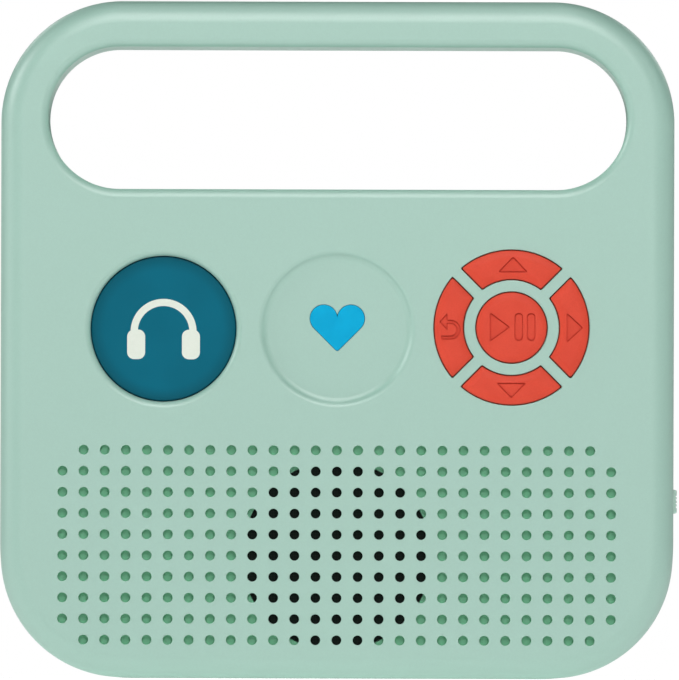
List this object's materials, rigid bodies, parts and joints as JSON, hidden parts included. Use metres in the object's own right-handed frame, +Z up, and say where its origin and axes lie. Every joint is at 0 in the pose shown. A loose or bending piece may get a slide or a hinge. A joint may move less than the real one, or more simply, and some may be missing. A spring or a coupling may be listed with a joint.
{
  "type": "audio story player",
  "caption": "Rounded square audio story player with a handle loop, round display, dished favourite button, round control pad, perforated speaker front and side switch.",
  "frame": {"origin": "middle of the flat base, half-way between the front and the rear face", "axes": "+Z up, +X to the right seen from the front, the front face looks to -Y"},
  "size_m": [0.1509, 0.0426, 0.1508],
  "materials": {
    "shell": "fine satin texture, sage green ABS",
    "button": "fine satin texture, sage green ABS",
    "slider": "smooth satin, a little lighter than the shell",
    "window": "smooth back-printed lens, petrol blue",
    "heart": "smooth, bright blue, slightly translucent",
    "keys": "matte silicone, coral red",
    "steel": "zinc plated",
    "switch_metal": "nickel plated",
    "board": "green solder mask",
    "chip": "moulded epoxy",
    "black_plastic": "moulded black",
    "white_plastic": "moulded nylon",
    "led": "clear resin on a white base",
    "flex": "polyimide film",
    "ribbon": "grey PVC ribbon",
    "lead": "PVC insulation",
    "foam": "closed-cell foam",
    "cloth": "fine black acoustic cloth",
    "rubber_black": "matte",
    "paper_black": "pressed paper pulp",
    "magnet": "ferrite between zinc-plated plates",
    "battery": "heat-shrink sleeve"
  },
  "bodies": {
    "housing": {"front_shell": "shell", "rear_shell": "shell", "battery_cover": "shell", "battery_cover_screw": "steel", "case_screws": "steel", "handle_screws": "steel", "display_window": "window", "display_module": "black_plastic", "display_holder": "black_plastic", "display_holder_screws": "steel", "display_flex": "flex", "heart_led": "led", "button_board": "board", "tact_switches": "switch_metal", "button_board_screws": "steel", "main_board": "board", "main_board_screws": "steel", "main_board_chips": "chip", "usb_port": "switch_metal", "usb_tongue": "black_plastic", "headphone_jack": "black_plastic", "power_switch": "switch_metal", "speaker_gasket": "foam", "speaker_cloth": "cloth", "speaker_frame": "steel", "speaker_magnet": "magnet", "speaker_surround": "rubber_black", "speaker_cone": "paper_black", "speaker_dust_cap": "paper_black", "speaker_terminal": "board", "speaker_screws": "steel", "battery_pack": "battery", "battery_foam": "foam", "flex_connector": "white_plastic", "ribbon_sockets": "white_plastic", "lead_connectors": "white_plastic", "board_ribbon": "ribbon", "speaker_lead": "lead", "battery_lead": "lead"},
    "power_slider": {"power_slider": "slider", "switch_lever": "black_plastic"},
    "favourite": {"favourite_button": "button", "heart_lens": "heart", "favourite_plungers": "black_plastic"},
    "up": {"up_key": "keys", "up_plunger": "black_plastic"},
    "down": {"down_key": "keys", "down_plunger": "black_plastic"},
    "back": {"back_key": "keys", "back_plunger": "black_plastic"},
    "next": {"next_key": "keys", "next_plunger": "black_plastic"},
    "play_pause": {"play_pause_key": "keys", "play_pause_plunger": "black_plastic"}
  },
  "joints": [
    {"name": "power_slide", "type": "slide", "parent": "housing", "child": "power_slider", "axis": [0, 0, -1], "range_m": [0, 0.003]},
    {"name": "favourite_press", "type": "slide", "parent": "housing", "child": "favourite", "axis": [0, 1, 0], "range_m": [0, 0.0008], "stiffness_N_per_m": 1500},
    {"name": "up_press", "type": "slide", "parent": "housing", "child": "up", "axis": [0, 1, 0], "range_m": [0, 0.0006], "stiffness_N_per_m": 1500},
    {"name": "down_press", "type": "slide", "parent": "housing", "child": "down", "axis": [0, 1, 0], "range_m": [0, 0.0006], "stiffness_N_per_m": 1500},
    {"name": "back_press", "type": "slide", "parent": "housing", "child": "back", "axis": [0, 1, 0], "range_m": [0, 0.0006], "stiffness_N_per_m": 1500},
    {"name": "next_press", "type": "slide", "parent": "housing", "child": "next", "axis": [0, 1, 0], "range_m": [0, 0.0006], "stiffness_N_per_m": 1500},
    {"name": "play_pause_press", "type": "slide", "parent": "housing", "child": "play_pause", "axis": [0, 1, 0], "range_m": [0, 0.0006], "stiffness_N_per_m": 1500}
  ]
}
